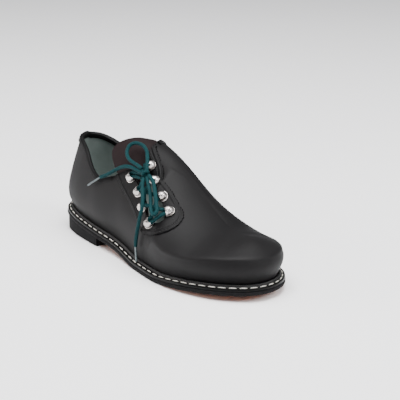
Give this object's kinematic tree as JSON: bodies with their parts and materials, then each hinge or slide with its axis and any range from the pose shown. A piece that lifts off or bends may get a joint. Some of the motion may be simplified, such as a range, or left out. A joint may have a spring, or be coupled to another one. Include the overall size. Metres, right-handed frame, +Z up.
{
  "type": "low side-laced folk shoe",
  "caption": "Low leather folk shoe for the right foot, laced on its outer side through hooded loops, on a welted sole with a stacked heel.",
  "frame": {"origin": "on the ground under the middle of the shoe's box, cords left out", "axes": "+X from heel to toe, +Y to the inner side of the foot, +Z up"},
  "size_m": [0.3, 0.107, 0.1117],
  "materials": {
    "sole": "matte, finely mottled",
    "heel": "matte",
    "welt": "satin black, ribbed",
    "lining": "matte grey-green",
    "upper": "satin smooth black",
    "trim": "satin black",
    "tongue": "soft brown-black",
    "loops": "nickel-plated, satin",
    "lace": "dark teal cord",
    "aglets": "light silver tips"
  },
  "bodies": {
    "root": {"outsole": "sole", "heel": "heel", "welt": "welt", "insole": "lining", "upper": "upper", "eyestay": "trim", "collar_band": "trim", "tongue": "tongue", "loop_front_1": "loops", "loop_front_2": "loops", "loop_front_3": "loops", "loop_front_4": "loops", "loop_rear_1": "loops", "loop_rear_2": "loops", "loop_rear_3": "loops", "loop_rear_4": "loops", "lace_bar": "lace", "lace_cross_1": "lace", "lace_cross_2": "lace", "lace_cross_3": "lace", "lace_knot": "lace", "bow_loop_upper": "lace", "bow_loop_lower": "lace", "lace_end_rear": "lace", "lace_end_front": "lace", "aglet_rear": "aglets", "aglet_front": "aglets"}
  },
  "joints": []
}
